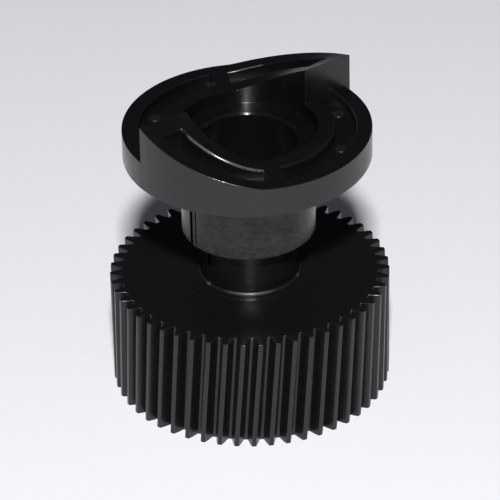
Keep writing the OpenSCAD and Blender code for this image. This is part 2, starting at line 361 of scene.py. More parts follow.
# %% Finish: bright steels
def bright_steel(name, light, dark, gloss, line_mm, bloom_mm):
    """Steel with fine lines line_mm apart and a cloudy bloom bloom_mm across."""
    material, shader = new_finish(name, Metallic=1.0)
    place = add(material, "ShaderNodeTexCoord").outputs["Object"]
    bloom = add(material, "ShaderNodeTexNoise", {
        "Vector": place, "Scale": per_metre(bloom_mm), "Detail": 5.0, "Roughness": 0.6})
    flat = add(material, "ShaderNodeMapping", {"Vector": place, "Scale": (1.0, 1.0, 6.0)})
    lines = add(material, "ShaderNodeTexNoise", {
        "Vector": flat, "Scale": per_metre(line_mm), "Detail": 3.0})
    tone = add(material, "ShaderNodeMix", {
        "Factor": bloom, 6: linear(dark), 7: linear(light)}, data_type="RGBA")
    rough = add(material, "ShaderNodeMapRange", {
        "Value": bloom, "From Min": 0.3, "From Max": 0.7,
        "To Min": gloss - 0.07, "To Max": gloss + 0.1})
    draw = add(material, "ShaderNodeBump", {"Height": lines, "Distance": 0.0015 * MM})
    shader_links(material, shader, Base_Color=tone.outputs[2], Roughness=rough, Normal=draw)
    return material


spring_steel = bright_steel("drawn_spring_steel", "#c9cacc", "#8f9194", 0.28, 0.12, 1.5)
clip_steel = bright_steel("tempered_clip_steel", "#8c8e91", "#5d5f63", 0.33, 0.15, 1.2)
washer_steel = bright_steel("zinc_plated_steel", "#d3d6d9", "#a9adb2", 0.36, 0.3, 0.9)
print("made", spring_steel.name, clip_steel.name, washer_steel.name)

# %% [markdown]
# ## A solid from cells
#
# Turned and moulded parts are easy to describe from above: rings between two radii, cut
# by lines that run out from the axis. In each cell the part is filled between some
# heights. This function takes the radii, the lines and a rule for the filled heights,
# and makes one closed skin: a top and a bottom for each filled stretch, and a wall
# wherever two neighbouring cells differ. A wall shares its corners with every face it
# meets, so nothing is left open. Ramps, steps, pockets, slots and keyways are then only
# rules about heights. Radii of rings and of eased edges are written in capitals.

# %% Lines of the grid
key_direction = 214.5


def radial(direction):
    """A grid line straight out from the axis."""
    return lambda r: direction


def beside(direction, distance, reach=1e3):
    """A grid line parallel to a direction, distance mm beside it, as far as radius reach."""
    return lambda r: direction + math.degrees(math.asin(distance / min(r, reach)))


def evenly(start, end, step):
    """Angles from start to end, evenly spaced, at most step degrees apart."""
    count = math.ceil((end - start) / step)
    return [start + (end - start) * i / count for i in range(count + 1)]


def fan(start, end, step):
    """Radial lines from start to end, evenly spaced, at most step degrees apart."""
    return [radial(angle) for angle in evenly(start, end, step)]


def paired_grid(half_width, clear, step):
    """Lines with a slot or tooth half_width each side of the key's direction and its opposite.

    The lines between start clear degrees beside it. Also gives the slots' own cells.
    """
    lines, slots = [], set()
    for direction in (key_direction, key_direction + 180):
        slots.add(len(lines))
        lines += [beside(direction, -half_width), beside(direction, half_width)]
        lines += fan(direction + clear, direction + 180 - clear, step)
    return lines, slots


print("a line 1 mm beside 90 degrees is at", round(beside(90, 1)(10), 1), "degrees, 10 mm out")

# %% Solids from a grid of cells
SHARED = 1e-4


def height_at(value, r, side):
    """A height, or the value of a height rule at a corner of a cell."""
    return value(r, side) if callable(value) else value


def uncovered(stretches, others):
    """The parts of upright stretches at two corners that the others leave open."""
    for other in others:
        kept = []
        for stretch in stretches:
            below, above = [], []
            for (low, high), (other_low, other_high) in zip(stretch, other):
                below.append((low, max(low, min(high, other_low))))
                above.append((min(high, max(low, other_high)), high))
            kept += [s for s in (below, above) if any(b - a > SHARED for a, b in s)]
        stretches = kept
    return stretches


def cell_solid(name, radii, lines, fill, closed=True, open_rim=False, spot=None):
    """A closed mesh whose cells are filled as fill(zone, cell) says, heights in mm.

    fill gives a list of (bottom, top) pairs, each a height or a rule of (radius, side).
    open_rim leaves the outermost wall out, so that another skin can join on there.
    """
    spot = spot or (lambda r, line: on_circle(r, line(r)))
    zones = len(radii) - 1
    cells = len(lines) if closed else len(lines) - 1
    corners, columns, points = {}, {}, {}
    shape = bmesh.new()

    for k in range(zones):
        for j in range(cells):
            corners[k, j] = [
                {(end, side): (height_at(low, radii[k + end], side),
                               height_at(high, radii[k + end], side))
                 for end in (0, 1) for side in (0, 1)}
                for low, high in fill(k, j)]
            for stretch in corners[k, j]:
                for (end, side), pair in stretch.items():
                    column = columns.setdefault((k + end, (j + side) % len(lines)), set())
                    column.update(round(z, 4) for z in pair)

    def corner(k, j, z):
        """The mesh's point in one column of the grid at one height."""
        key = (k, j % len(lines), round(z, 4))
        if key not in points:
            x, y = spot(radii[k], lines[key[1]])
            points[key] = shape.verts.new((x * MM, y * MM, key[2] * MM))
        return points[key]

    def rise(k, j, low, high):
        """Every point of a column from low to high."""
        column = columns.get((k, j % len(lines)), ())
        between = [z for z in sorted(column) if low + SHARED < z < high - SHARED]
        heights = [low] + between + ([high] if high - low > SHARED else [])
        return [corner(k, j, z) for z in heights]

    def wall(first, second, left, right):
        """Closes the difference between two neighbouring cells' stretches."""
        for part in uncovered(left, right) + uncovered(right, left):
            around = rise(*first, *part[0]) + rise(*second, *part[1])[::-1]
            if len(around) > 2:
                shape.faces.new(around)

    def edge_of(k, j, pick):
        """A cell's stretches at the two corners that pick names, or none outside."""
        return [[s[pick[0]], s[pick[1]]] for s in corners.get((k, j), [])]

    for (k, j), stretches in corners.items():
        for stretch in stretches:
            for level in (0, 1):
                shape.faces.new([corner(k + end, j + side, stretch[end, side][level])
                                 for end, side in ((0, 0), (1, 0), (1, 1), (0, 1))])

    for j in range(cells + (0 if closed else 1)):
        before = (j - 1) % cells if closed else j - 1
        for k in range(zones):
            wall((k, j), (k + 1, j),
                 edge_of(k, before, ((0, 1), (1, 1))), edge_of(k, j, ((0, 0), (1, 0))))
    for j in range(cells):
        for k in range(zones if open_rim else zones + 1):
            wall((k, j), (k, j + 1),
                 edge_of(k - 1, j, ((1, 0), (1, 1))), edge_of(k, j, ((0, 0), (0, 1))))

    bmesh.ops.recalc_face_normals(shape, faces=shape.faces)
    piece = bpy.data.objects.new(name, bpy.data.meshes.new(name))
    shape.to_mesh(piece.data)
    open_edges = sum(1 for e in shape.edges if len(e.link_faces) != 2)
    shape.free()
    bpy.context.scene.collection.objects.link(piece)
    print(f"{name}: {len(piece.data.polygons)} faces, {open_edges} open edges")
    return piece


# %% [markdown]
# ## Eased edges
#
# No moulded or turned edge is truly sharp, and the thin line of light along an edge is
# what makes a small part look real. A Bevel modifier rounds each edge by a real radius.
# It also puts the rounded strips in a second material slot for a moment, which tells
# which points lie in the middle of a strip, and those get the edge_wear attribute.
# Weighted normals then keep the flat faces flat up to the strip. Where a piece has
# edges of different radii, each edge gets its own share of the largest one.

# %% Helpers that settle a mesh and write its marks
def settle(piece):
    """Turns what a piece's modifiers make into its own plain mesh."""
    graph = bpy.context.evaluated_depsgraph_get()
    mesh = bpy.data.meshes.new_from_object(piece.evaluated_get(graph))
    rough, piece.data = piece.data, mesh
    piece.modifiers.clear()
    bpy.data.meshes.remove(rough)
    return piece


def mesh_shape(piece):
    """A working copy of a piece's mesh."""
    shape = bmesh.new()
    shape.from_mesh(piece.data)
    return shape


def turn_outwards(piece, shape):
    """Turns every face outwards, reports open edges and gives the mesh back to its piece."""
    bmesh.ops.recalc_face_normals(shape, faces=shape.faces)
    print(f"{piece.name}: {sum(1 for e in shape.edges if len(e.link_faces) != 2)} open edges")
    shape.to_mesh(piece.data)
    shape.free()


def mark_wear(piece):
    """Writes edge_wear: 1 in the middle of a rounded convex edge, 0 elsewhere."""
    shape = mesh_shape(piece)
    worn = [1.0 if all(f.material_index == 1 for f in v.link_faces)
            and sum(e.calc_face_angle_signed(0) for e in v.link_edges) > 0.05 else 0.0
            for v in shape.verts]
    shape.free()
    attribute = piece.data.attributes.new("edge_wear", "FLOAT", "POINT")
    attribute.data.foreach_set("value", worn)
    piece.data.polygons.foreach_set("material_index", [0] * len(piece.data.polygons))


def mark(piece, name, rule):
    """Writes an attribute from a rule of each point's radius, direction and height in mm."""
    values = []
    for v in piece.data.vertices:
        p = v.co / MM
        direction = math.degrees(math.atan2(p.y, p.x)) % 360
        values.append(float(rule(p.xy.length, direction, p.z)))
    piece.data.attributes.new(name, "FLOAT", "POINT").data.foreach_set("value", values)


# %% Helpers that ease edges and hand a piece over
def smooth_faces(piece, limit=40):
    """Smooth shading with sharp lines only where the surface turns by more than limit."""
    piece.data.polygons.foreach_set("use_smooth", [True] * len(piece.data.polygons))
    piece.data.set_sharp_from_angle(angle=math.radians(limit))
    weighted = piece.modifiers.new("flat_faces_first", "WEIGHTED_NORMAL")
    weighted.keep_sharp = True
    settle(piece)


def ease_edges(piece, finish, radius, strips=3, limit=28, by_weight=False):
    """Rounds the edges by a radius in mm and gives the piece its finish."""
    piece.data.materials.append(finish)
    piece.data.materials.append(finish)
    bevel = piece.modifiers.new("eased_edges", "BEVEL")
    bevel.width = radius * MM
    bevel.segments = strips
    bevel.limit_method = "WEIGHT" if by_weight else "ANGLE"
    bevel.angle_limit = math.radians(limit)
    bevel.use_clamp_overlap = False
    bevel.material = 1
    settle(piece)
    mark_wear(piece)
    piece.data.materials.pop(index=1)
    return piece


def weigh_edges(piece, width, sharp=28):
    """Gives each sharp edge its own share of the bevel's width."""
    shape = mesh_shape(piece)
    share = shape.edges.layers.float.new("bevel_weight_edge")
    for edge in shape.edges:
        if len(edge.link_faces) != 2 or edge.calc_face_angle(0) < math.radians(sharp):
            continue
        edge[share] = width(edge)
    shape.to_mesh(piece.data)
    shape.free()


def put_on(piece, body, slot, *nodes):
    """The piece rides on a body and stands for its solid nodes. slot is not used."""
    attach(piece, body)
    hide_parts(*nodes)
    print(f"{piece.name}: {len(piece.data.polygons)} faces, stands for {', '.join(nodes)}")


print("edges that turn by more than 28 degrees are eased")

# %% [markdown]
# ## One gear tooth
#
# A gear tooth's flank is an involute, the curve that the end of a taut string draws as it
# unwinds from the base circle. From the module, the number of teeth and the pressure
# angle, everything else follows. The tooth is drawn once, from the middle of one gap to
# the middle of the next, with a fillet at its root and a small round at its tip. It is
# stacked in levels from the bottom face to the top face, and the first and last levels
# shrink a little, so the tooth's ends are eased as well.

# %% Sizes of the gear
gear_high = span_mm("drive_gear")[1]
gear_face = gear_high.z
tooth_count = 51
gear_module = 0.8
helix_angle = math.radians(4)
pressure_angle = math.radians(20)
first_tooth = -96.7
pitch_radius = tooth_count * gear_module / (2 * math.cos(helix_angle))
tip_radius = pitch_radius + gear_module
root_radius = pitch_radius - 1.25 * gear_module
side_pressure = math.atan(math.tan(pressure_angle) / math.cos(helix_angle))
base_radius = pitch_radius * math.cos(side_pressure)
face_turn = gear_face * math.tan(helix_angle) / pitch_radius
band_radius = root_radius - 0.75
print(f"tip radius {tip_radius:.2f} mm, the solid's is {gear_high.x:.2f} mm")

# %% The tooth's outline and its levels
def involute(angle):
    """The involute function of an angle in radians."""
    return math.tan(angle) - angle


def half_tooth(radius):
    """Half the angle that a tooth spans at a radius, in radians."""
    return (math.pi / (2 * tooth_count) + involute(side_pressure)
            - involute(math.acos(base_radius / radius)))


def half_outline(root_fillet=0.2, tip_round=0.13, flank_points=6, round_points=3):
    """Points (radius, angle) from the middle of a gap up to the middle of the tip."""
    gap_middle = math.pi / tooth_count
    points = [(root_radius, gap_middle)]
    root_angle = half_tooth(root_radius)
    for i in range(round_points + 1):
        turn = i / round_points * math.pi / 2
        points.append((root_radius + root_fillet * (1 - math.cos(turn)),
                       root_angle + root_fillet * (1 - math.sin(turn)) / root_radius))
    low, high = root_radius + root_fillet, tip_radius - tip_round
    for i in range(1, flank_points + 1):
        radius = low + (high - low) * i / flank_points
        points.append((radius, half_tooth(radius)))
    for i in range(1, round_points + 1):
        turn = i / round_points * math.pi / 2
        points.append((tip_radius - tip_round * (1 - math.sin(turn)),
                       half_tooth(high) - tip_round * (1 - math.cos(turn)) / tip_radius))
    points.append((tip_radius, 0.0))
    return points


def shrunk(points, amount):
    """The outline moved inwards along its own normals by an amount in mm."""
    moved = []
    flat = [Vector((r * math.cos(a), r * math.sin(a))) for r, a in points]
    for i, point in enumerate(flat):
        along = flat[min(i + 1, len(flat) - 1)] - flat[max(i - 1, 0)]
        if i in (0, len(flat) - 1):
            inward = -point.normalized()
        else:
            inward = Vector((along.y, -along.x)).normalized()
        moved.append(point + inward * amount)
    return moved


print(f"a tooth is {2 * pitch_radius * half_tooth(pitch_radius):.2f} mm wide half way up")

# %% The mesh of one tooth
def tooth_sector(end_round=0.11, end_levels=3, face_levels=7):
    """One tooth with eased ends, and its share of the flat bands inside the root."""
    half = half_outline()
    levels = []
    for i in range(end_levels + 1):
        turn = i / end_levels * math.pi / 2
        inset = end_round * (1 - math.sin(turn))
        levels.append((end_round * (1 - math.cos(turn)), inset, i in (1, 2)))
    for i in range(1, face_levels):
        height = end_round + (gear_face - 2 * end_round) * i / face_levels
        levels.append((height, 0.0, False))
    levels += [(gear_face - height, inset, worn) for height, inset, worn in levels[end_levels::-1]]
    shape = bmesh.new()
    wear_layer = shape.verts.layers.float.new("edge_wear")
    rows = []
    for height, inset, worn in levels:
        side = shrunk(half, inset)
        outline = [Vector((p.x, -p.y)) for p in side] + side[-2::-1]
        row = [shape.verts.new((p.x * MM, p.y * MM, height * MM)) for p in outline]
        for vertex, point in zip(row, outline):
            at_tip = 0.005 < tip_radius - point.length < 0.11
            vertex[wear_layer] = 1.0 if worn or at_tip else 0.0
        rows.append(row)
    for lower, upper in zip(rows, rows[1:]):
        for i in range(len(lower) - 1):
            shape.faces.new((lower[i], lower[i + 1], upper[i + 1], upper[i]))
    for row, height, order in ((rows[0], 0.0, -1), (rows[-1], gear_face, 1)):
        band = []
        for vertex in row:
            flat = vertex.co.xy.normalized() * band_radius * MM
            band.append(shape.verts.new((flat.x, flat.y, height * MM)))
        for i in range(len(row) - 1):
            shape.faces.new((row[i], row[i + 1], band[i + 1], band[i])[::order])
    tooth = bpy.data.objects.new("tooth", bpy.data.meshes.new("tooth"))
    shape.to_mesh(tooth.data)
    shape.free()
    bpy.context.scene.collection.objects.link(tooth)
    return tooth


tooth = tooth_sector()
print(f"one tooth has {len(tooth.data.polygons)} faces")

# %% [markdown]
# ## The ring of teeth
#
# Fifty-one equal teeth are a job for Geometry Nodes. The tree twists the one tooth along
# the face by the helix, sets a copy of it on each of a row of points that all lie on the
# axis, turns each copy by its number, joins the copies where they touch and hands over
# one mesh. The count, the turn and the direction of the first tooth are named inputs,
# so the same tree would make any other gear of this kind.

# %% Helpers for trees of geometry nodes
def new_tree(name, **inputs):
    """A geometry node tree with named inputs, each given as its kind of socket."""
    tree = bpy.data.node_groups.new(name, "GeometryNodeTree")
    tree.interface.new_socket("Geometry", in_out="INPUT", socket_type="NodeSocketGeometry")
    tree.interface.new_socket("Geometry", in_out="OUTPUT", socket_type="NodeSocketGeometry")
    for title, kind in inputs.items():
        tree.interface.new_socket(title.replace("_", " "), in_out="INPUT", socket_type=kind)
    start = tree.nodes.new("NodeGroupInput")
    end = tree.nodes.new("NodeGroupOutput")
    return tree, start.outputs, end.inputs["Geometry"]


def grow(piece, tree, **values):
    """Runs a tree on a piece with named values and keeps the result as its mesh."""
    modifier = piece.modifiers.new(tree.name, "NODES")
    modifier.node_group = tree
    names = {item.name: item.identifier for item in tree.interface.items_tree
             if item.in_out == "INPUT"}
    for title, value in values.items():
        modifier[names[title.replace("_", " ")]] = value
    return settle(piece)


# %% Tree: teeth round an axis
def teeth_tree():
    """Twists one tooth by the helix and repeats it round the axis."""
    tree, given, result = new_tree(
        "teeth_round_axis", Teeth="NodeSocketInt", First_direction="NodeSocketFloat",
        Face_height="NodeSocketFloat", Face_turn="NodeSocketFloat",
        Finish="NodeSocketMaterial")
    place = add(tree, "GeometryNodeInputPosition")
    height = add(tree, "ShaderNodeSeparateXYZ", {0: place}).outputs["Z"]
    share = add(tree, "ShaderNodeMath", {0: height, 1: given["Face height"]},
                operation="DIVIDE")
    turn = add(tree, "ShaderNodeMath", {0: share, 1: given["Face turn"]},
               operation="MULTIPLY")
    twisted = add(tree, "ShaderNodeVectorRotate", {"Vector": place, "Angle": turn},
                  rotation_type="Z_AXIS")
    helical = add(tree, "GeometryNodeSetPosition", {
        "Geometry": given["Geometry"], "Position": twisted})
    points = add(tree, "GeometryNodeMeshLine", {
        "Count": given["Teeth"], "Offset": (0.0, 0.0, 0.0)})
    number = add(tree, "GeometryNodeInputIndex")
    pitch = add(tree, "ShaderNodeMath", {0: math.tau, 1: given["Teeth"]}, operation="DIVIDE")
    direction = add(tree, "ShaderNodeMath", {
        0: number, 1: pitch, 2: given["First direction"]}, operation="MULTIPLY_ADD")
    rotation = add(tree, "ShaderNodeCombineXYZ", {"Z": direction})
    copies = add(tree, "GeometryNodeInstanceOnPoints", {
        "Points": points, "Instance": helical, "Rotation": rotation})
    real = add(tree, "GeometryNodeRealizeInstances", {"Geometry": copies})
    joined = add(tree, "GeometryNodeMergeByDistance", {
        "Geometry": real, "Distance": 0.002 * MM})
    painted = add(tree, "GeometryNodeSetMaterial", {
        "Geometry": joined, "Material": given["Finish"]})
    tree.links.new(painted.outputs[0], result)
    return tree


teeth = grow(tooth, teeth_tree(), Teeth=tooth_count, First_direction=math.radians(first_tooth),
             Face_height=gear_face * MM, Face_turn=face_turn, Finish=gear_acetal)
print(f"ring of teeth: {len(teeth.data.polygons)} faces")

# %% [markdown]
# ## The gear's body
#
# Inside the teeth the gear is a hub and a thin web, open underneath and braced by six
# ribs, because thick plastic shrinks and warps in the mould. It comes from the cell
# function: the heights say where the cavity, the clip groove and the seats for the guide
# bush and cap are. Then the flat bands between body and teeth are filled with triangles
# that step from one ring of points to the other.

# %% Cells of the gear's body
rib_count = 6
rib_half = 0.8
web_bottom = gear_face - 2.5
flange_seat = gear_face - 0.8
beside_rib = 6.5
GUIDE_SEAT, CHAMBER, FLANGE_SEAT, CAP_SEAT, CLIP_GROOVE = 8.2, 8.6, 9.1, 9.2, 9.9
HUB, CAVITY = 12.0, 16.8
guide_low, guide_high = span_mm("guide_bush")
cap_low, cap_high = span_mm("bottom_cap")
clip_low, clip_high = span_mm("cap_circlip")


def gear_lines():
    """Lines of the gear's grid, with two parallel lines for each rib, and the rib cells."""
    lines, ribs = [], set()
    for i in range(rib_count):
        direction = key_direction + (i + 0.5) * 360 / rib_count
        ribs.add(len(lines))
        lines += [beside(direction, -rib_half), beside(direction, rib_half)]
        lines += fan(direction + beside_rib, direction + 360 / rib_count - beside_rib, 3.0)
    return lines, ribs


body_lines, rib_cells = gear_lines()
body_radii = [GUIDE_SEAT, CHAMBER, FLANGE_SEAT, CAP_SEAT, CLIP_GROOVE, HUB, CAVITY,
              band_radius - 0.25]


def gear_fill(zone, cell):
    """Filled heights of the gear's body, zone by zone from the guide's seat outwards."""
    groove_low, groove_high = clip_low.z - 0.05, clip_high.z + 0.02
    return [
        [(guide_low.z, flange_seat)],
        [(cap_high.z, flange_seat)],
        [(cap_high.z, gear_face)],
        [(0.0, groove_low), (groove_high, gear_face)],
        [(0.0, gear_face)],
        [(0.0 if cell in rib_cells else web_bottom, gear_face)],
        [(0.0, gear_face)],
    ][zone]


gear_body = cell_solid("gear_body", body_radii, body_lines, gear_fill, open_rim=True)
print("the open edges are the rim, where the teeth join on")
ease_edges(gear_body, gear_acetal, 0.12)

# %% Join the body to the teeth
def ring_at(shape, height, radius):
    """The open-edged points at a height and near a radius, in order round the axis."""
    found = [v for v in shape.verts if v.is_boundary and abs(v.co.z - height * MM) < 1e-7
             and abs(v.co.xy.length - radius * MM) < 0.05 * MM]
    return sorted(found, key=lambda v: math.atan2(v.co.y, v.co.x) % math.tau)


def fill_band(shape, outer, inner):
    """Fills the flat band between two rings of points with triangles."""
    def angle(ring, i):
        v = ring[i % len(ring)]
        return math.atan2(v.co.y, v.co.x) % math.tau + (math.tau if i >= len(ring) else 0)

    i = j = 0
    while i < len(outer) or j < len(inner):
        a, b = outer[i % len(outer)], inner[j % len(inner)]
        if j == len(inner) or (i < len(outer) and angle(outer, i + 1) <= angle(inner, j + 1)):
            shape.faces.new((a, outer[(i + 1) % len(outer)], b))
            i += 1
        else:
            shape.faces.new((a, inner[(j + 1) % len(inner)], b))
            j += 1


def join_pieces(first, *others):
    """Joins other pieces' meshes into the first."""
    with bpy.context.temp_override(active_object=first, object=first,
                                   selected_editable_objects=[first, *others]):
        bpy.ops.object.join()
    return first


gear = join_pieces(teeth, gear_body)
gear.name = "helical_gear"
gear.data.materials.clear()
gear.data.materials.append(gear_acetal)
gear.data.polygons.foreach_set("material_index", [0] * len(gear.data.polygons))
shape = mesh_shape(gear)
for height in (0.0, gear_face):
    fill_band(shape, ring_at(shape, height, band_radius), ring_at(shape, height, body_radii[-1]))
turn_outwards(gear, shape)
smooth_faces(gear, limit=35)
put_on(gear, "gear", "gear_acetal", "drive_gear")

# %% [markdown]
# ## The guide bush and the neck
#
# A bush is pressed into the gear's top. Its rim stands a little proud round the neck as a
# rounded bead, which use has dulled a little. Its front and two small spots beside it are
# painted light grey as highlights where the bead catches the light. Two small teeth inside
# the bush run in the neck's keyways. The neck is a plain tube with a lip below, which keeps
# it from pulling out, and two keyways cut from above the lip to the top. Both are cell
# solids on a grid with a slot every half turn.

# %% Guide bush
keyway_half = 0.55
TOOTH_END, GUIDE_BORE, BEAD_RADIUS = 6.85, 7.4, 7.9
BEAD_ROUND, BEAD_FOOT_ROUND, GUIDE_ROUND = 0.33, 0.14, 0.05
guide_lines, guide_tooth_cells = paired_grid(keyway_half - 0.1, 7, 3.5)


def guide_fill(zone, cell):
    """Filled heights of the guide bush: inner teeth, body with its bead, body, flange."""
    tooth_part = [(guide_low.z + 0.5, gear_face - 0.6)] if cell in guide_tooth_cells else []
    return [tooth_part, [(guide_low.z, guide_high.z)], [(guide_low.z, gear_face)],
            [(flange_seat, gear_face)]][zone]


def guide_round(edge):
    """The share of the bead's round that an edge of the guide bush gets."""
    a, b = (v.co / MM for v in edge.verts)
    if all(p.z > gear_face + 0.1 and abs(p.xy.length - BEAD_RADIUS) < 0.02 for p in (a, b)):
        return 1.0
    return (BEAD_FOOT_ROUND if a.z > gear_face + 0.1 else GUIDE_ROUND) / BEAD_ROUND


guide = cell_solid("guide_bush_ring", [TOOTH_END, GUIDE_BORE, BEAD_RADIUS, GUIDE_SEAT,
                                       guide_high.x], guide_lines, guide_fill)
weigh_edges(guide, guide_round)
ease_edges(guide, guide_acetal, BEAD_ROUND, strips=5, by_weight=True)

# %% Marks of use and painted highlights on the guide bush's bead
# Painted highlights: a grey band round the bead's front and two small glint spots.
front, highlight_reach, glint_spots = 270, 30, (217, 340)


def on_bead(height):
    """Whether a point stands above the gear's top face."""
    return height > gear_face + 0.02


def bead_highlight(radius, direction, height):
    """Where the bead is painted light grey as a highlight: most at the front, and in two glint
    spots beside it.
    """
    if not on_bead(height):
        return 0.0
    if any(abs(direction - middle) < 2 for middle in glint_spots):
        return 1.0
    return max(0.0, 1 - ((direction - front) / highlight_reach) ** 2)


mark(guide, "matt", lambda radius, direction, height: 0.2 * on_bead(height))
mark(guide, "scuff_and_highlight", bead_highlight)
smooth_faces(guide)
put_on(guide, "gear", "guide_acetal", "guide_bush")

# %% Sliding neck
neck_low, neck_high = span_mm("plunger_tube")
NECK_SHOULDER, NECK_BORE, KEYWAY_FLOOR, NECK_RADIUS = 5.2, 6.0, 6.75, 7.35
lip_top = guide_low.z - 0.05
neck_lines, keyway_cells = paired_grid(keyway_half, 8, 3.5)


def neck_fill(zone, cell):
    """Filled heights of the neck: shoulder, wall, keyway depth, lip."""
    outer_top = lip_top + 0.3 if cell in keyway_cells else neck_high.z
    return [[(neck_high.z - 1.5, neck_high.z)], [(neck_low.z, neck_high.z)],
            [(neck_low.z, outer_top)], [(neck_low.z, lip_top)]][zone]


neck = cell_solid("sliding_neck", [NECK_SHOULDER, NECK_BORE, KEYWAY_FLOOR, NECK_RADIUS,
                                   neck_high.x], neck_lines, neck_fill)
ease_edges(neck, neck_acetal, 0.08)
smooth_faces(neck)
put_on(neck, "coupling", "neck_acetal", "plunger_tube")

# %% [markdown]
# ## The sleeve, flange and ramps
#
# This is the piece that everything else serves. Seen from above it is five rings: the
# bore's wall, a sunk ledge, a collar, a recess and a rim. Collar and rim follow the same
# ramp, highest at a square step and falling away over sixty-five degrees. Behind each
# step the recess is bridged by a solid block, which takes the load, and further on by a
# narrow rib. All of this is one height rule for half a turn, used twice.

# %% Height rule of the coupling face
coupling_low, coupling_high = span_mm("cam_coupling")
ramp_rise, ramp_sweep, ramp_power = 5.9, 65.0, 1.2
low_level = coupling_high.z - ramp_rise
step_direction = 213.0
block_end, pocket_end, rib_end = 9.5, 67.0, 77.0
bore_chamfer, slot_half = 0.3, 0.8
BORE, RING_GROOVE, SLOT_FLOOR = 7.4, 7.95, 8.6
SLEEVE, LEDGE, COLLAR, RIM_INSIDE, RIM = 10.1, 10.5, 13.15, 16.2, coupling_high.x
flange_bottom, ledge_floor, recess_floor = 38.8, 41.1, 41.9
ring_low, ring_high = span_mm("coupling_ring")


def ramp_height(angle):
    """Height of the collar and rim, at an angle past the step."""
    return low_level + ramp_rise * max(0.0, 1 - angle / ramp_sweep) ** ramp_power


print(f"the ramps rise {ramp_rise} mm, and are {ramp_height(30) - low_level:.2f} mm high "
      "30 degrees past the step")


# %% Grid of the coupling
def half_turn_lines(start, slot_centre):
    """The lines of half a turn from a step, each with its angle past the step."""
    slot = slot_centre - start
    steady = [0.0] + evenly(block_end, rib_end, 2.5) + evenly(rib_end, 173, 2.7)[1:]
    placed = [(angle, radial(start + angle)) for angle in steady]
    for half in (slot_half, keyway_half):
        reach = math.degrees(math.asin(half / SLEEVE))
        placed.append((slot + reach, beside(slot_centre, half, SLEEVE)))
        placed.append((180 + slot - reach, beside(slot_centre + 180, -half, SLEEVE)))
    placed.sort(key=lambda item: item[0])
    return [(round(angle, 4), line) for angle, line in placed]


coupling_lines, line_angles = [], []
for turn in (0, 180):
    for angle, line in half_turn_lines(step_direction + turn, key_direction + turn):
        coupling_lines.append(line)
        line_angles.append(angle)
print(f"coupling grid: {len(coupling_lines)} lines")

# %% Cells of the coupling
slot_middle = key_direction - step_direction


def in_slot(angle, half):
    """Whether an angle past the step lies in the nearest slot, half wide each side."""
    away = abs((angle - slot_middle + 90) % 180 - 90)
    return away < math.degrees(math.asin(half / SLEEVE))


def coupling_fill(zone, cell):
    """Filled heights of a cell of the sleeve and flange, zone by zone from the bore."""
    start = line_angles[cell]
    end = line_angles[(cell + 1) % len(line_angles)] or 180.0
    middle = (start + end) / 2
    in_wide, in_narrow = in_slot(middle, slot_half), in_slot(middle, keyway_half)
    bridged = middle < block_end or pocket_end < middle < rib_end
    groove_low, groove_high = ring_low.z, ring_high.z + 0.05
    foot_bottom = groove_low + 0.3 if in_narrow else coupling_low.z
    below_groove = [] if in_narrow else [(coupling_low.z, groove_low)]

    def chamfered(radius, side):
        return ledge_floor - (bore_chamfer if radius == BORE else 0.0)

    def ramp(radius, side):
        return ramp_height(end if side else start)

    return [
        below_groove + [(groove_high, chamfered)],
        below_groove + [(groove_high, ledge_floor)],
        [(foot_bottom, ledge_floor)],
        [(flange_bottom if in_wide else coupling_low.z, ledge_floor)],
        [(flange_bottom, ledge_floor)],
        [(flange_bottom, ramp)],
        [(flange_bottom, ramp if bridged else recess_floor)],
        [(flange_bottom, ramp)],
    ][zone]


coupling_radii = [BORE, BORE + bore_chamfer, RING_GROOVE, SLOT_FLOOR, SLEEVE, LEDGE, COLLAR,
                  RIM_INSIDE, RIM]
coupling = cell_solid("ramp_coupling", coupling_radii, coupling_lines, coupling_fill)

# %% [markdown]
# ## Ejector marks
#
# Pins push the part out of its mould, and each leaves a low round pad. The four pads
# in the recess are short discs, joined on with a Boolean modifier so that the skin stays
# one closed surface. They are duller than the floor round them.

# %% Ejector marks on the recess floor
PAD_CIRCLE, PAD_RADIUS = 14.65, 0.95
pad_directions = (20.5, 160.0, 200.5, 340.0)
pad_height, pad_thickness = 0.15, 0.35


def ejector_pads():
    """Four low discs that sit in the recess floor and stand proud of it."""
    discs = []
    for direction in pad_directions:
        bpy.ops.mesh.primitive_cylinder_add(vertices=32, radius=PAD_RADIUS * MM,
                                            depth=pad_thickness * MM)
        disc = bpy.context.object
        x, y = on_circle(PAD_CIRCLE, direction)
        middle = recess_floor + pad_height - pad_thickness / 2
        disc.data.transform(Matrix.Translation(Vector((x, y, middle)) * MM))
        discs.append(disc)
    return join_pieces(*discs)


pads = ejector_pads()
union = coupling.modifiers.new("ejector_pads", "BOOLEAN")
union.operation = "UNION"
union.solver = "EXACT"
union.object = pads
settle(coupling)
bpy.data.objects.remove(pads)
print(f"coupling with ejector pads: {len(coupling.data.polygons)} faces")

# %% [markdown]
# ## The coupling's edges, marks of use and painted highlights
#
# The mating half slides on the ramps, so the collar's edge is worn round and rubbed
# grey, and that grey is painted light as a highlight line; the rim gets a few painted
# glints. The sleeve has been handled, and the pocket floors beside the ramps keep a
# dull finish from the mould. Rules of radius, direction and height say where each mark
# is, so no mark needs painting by hand.

# %% Ease the coupling's edges, more on the worn collar
COLLAR_ROUND, RIM_INSIDE_ROUND, RIM_ROUND, PLAIN_ROUND, PAD_ROUND = 0.42, 0.22, 0.1, 0.07, 0.04


